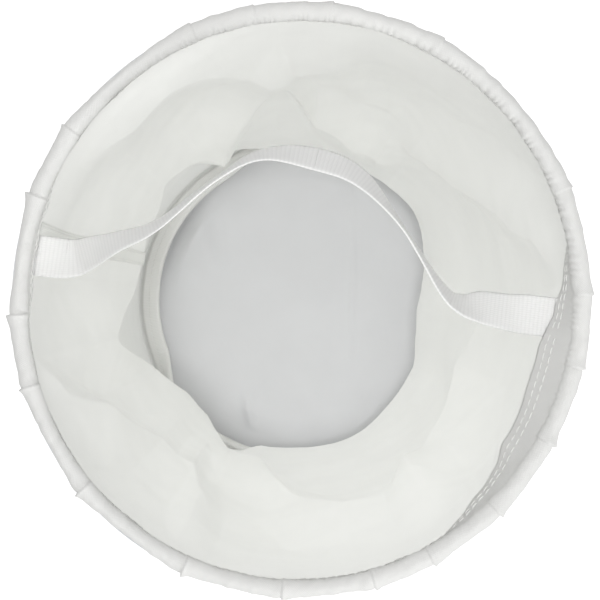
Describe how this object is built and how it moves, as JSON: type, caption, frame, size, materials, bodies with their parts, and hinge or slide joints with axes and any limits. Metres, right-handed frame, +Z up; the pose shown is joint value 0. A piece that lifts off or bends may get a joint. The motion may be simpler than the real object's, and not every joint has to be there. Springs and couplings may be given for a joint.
{
  "type": "mesh strainer bag",
  "caption": "Tall round mesh bag for produce and straining, held open by a wire hoop in its cloth hem, with a flat bound bottom and a webbing handle across the mouth.",
  "frame": {"origin": "on the floor, under the middle of the ring", "axes": "+Z up out of the mouth; the handle's sewn ends face each other along X; the side seam is towards -X"},
  "size_m": [0.18, 0.18, 0.4017],
  "materials": {
    "steel_wire": "drawn steel wire",
    "hem_cloth": "close-woven white cloth, matt with a slight sheen",
    "mesh_cloth": "fine white mesh, slightly see-through",
    "bottom_cloth": "fine white mesh in one flat layer",
    "webbing": "ribbed white webbing",
    "seam_tape": "ribbed white binding tape",
    "thread": "white sewing thread"
  },
  "bodies": {
    "base": {"bottom_disc": "bottom_cloth", "bottom_binding": "seam_tape", "bottom_seam_thread": "thread", "mesh_wall": "mesh_cloth", "side_seam_tape": "seam_tape", "side_seam_thread_back": "thread", "side_seam_thread_front": "thread"},
    "rim": {"ring_hoop": "steel_wire", "rim_collar": "hem_cloth", "hem_needle_thread": "thread", "hem_bobbin_thread": "thread", "handle_end_left": "webbing", "handle_end_right": "webbing"},
    "handle": {"handle_strap": "webbing"}
  },
  "joints": [
    {"name": "bag_collapse", "type": "slide", "parent": "base", "child": "rim", "axis": [0, 0, 1], "range_m": [-0.31, 0], "deforming": ["mesh_wall", "side_seam_tape", "side_seam_thread_back", "side_seam_thread_front"]},
    {"name": "handle_swing", "type": "hinge", "parent": "rim", "child": "handle", "pos_m": [0, 0.004, 0.3668], "axis": [1, 0, 0], "range_deg": [-32, 148]}
  ]
}
